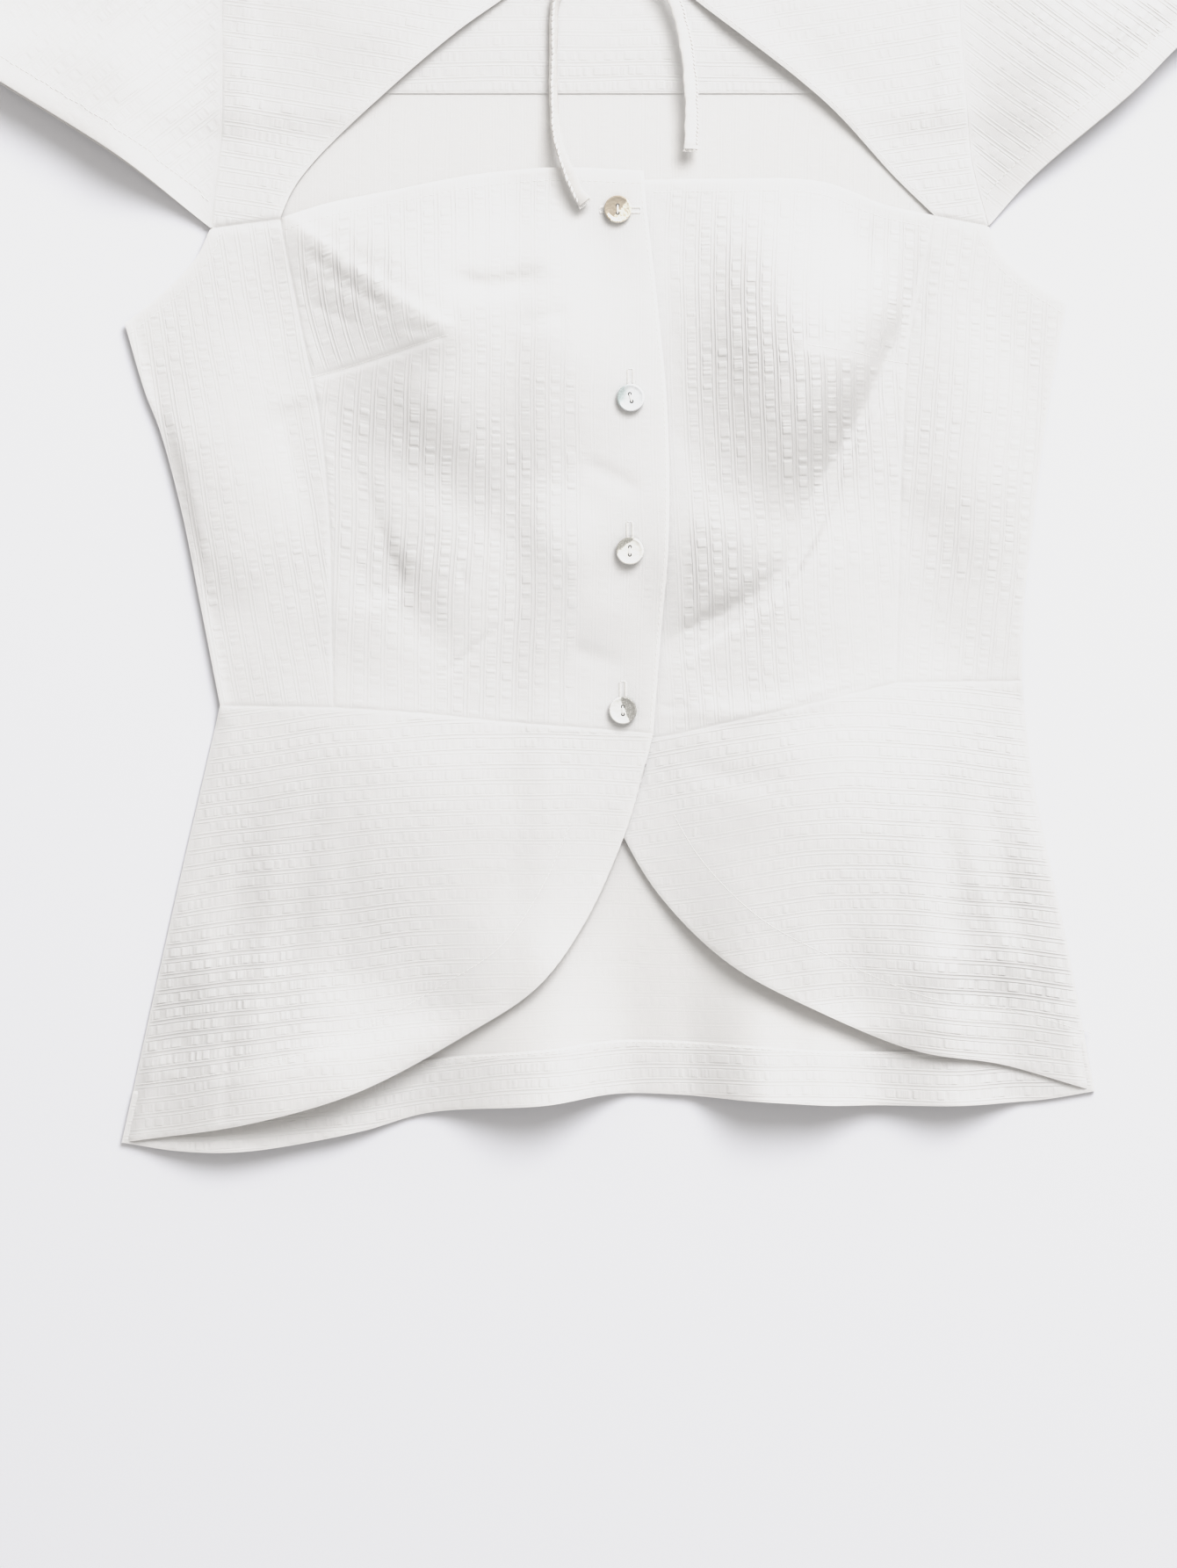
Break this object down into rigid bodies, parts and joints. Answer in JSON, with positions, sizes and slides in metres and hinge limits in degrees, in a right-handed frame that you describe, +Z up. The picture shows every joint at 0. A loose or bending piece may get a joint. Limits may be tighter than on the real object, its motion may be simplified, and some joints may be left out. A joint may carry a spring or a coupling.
{
  "type": "peplum blouse",
  "caption": "White crinkled cotton peplum blouse lying flat, with cap sleeves, a tie-neck keyhole and a buttoned front.",
  "frame": {"origin": "on the resting surface, under the middle of the laid-out blouse", "axes": "+Y from the hem to the neck, +Z up from the surface to the blouse's front, so the wearer's right side is at -X"},
  "size_m": [0.6414, 0.6274, 0.0206],
  "materials": {
    "cotton": "matt, crinkled",
    "shell": "polished mother-of-pearl"
  },
  "bodies": {
    "root": {"back_bodice": "cotton", "back_yoke_facing": "cotton", "back_peplum": "cotton", "back_hem_band": "cotton", "front_side_right": "cotton", "front_side_left": "cotton", "front_centre_right": "cotton", "front_centre_left": "cotton", "peplum_front_right": "cotton", "peplum_front_left": "cotton", "yoke_right": "cotton", "yoke_left": "cotton", "sleeve_right": "cotton", "sleeve_left": "cotton", "neck_binding": "cotton", "tie_knot": "cotton", "tie_right": "cotton", "tie_left": "cotton", "button_1": "shell", "button_2": "shell", "button_3": "shell", "button_4": "shell"}
  },
  "joints": []
}
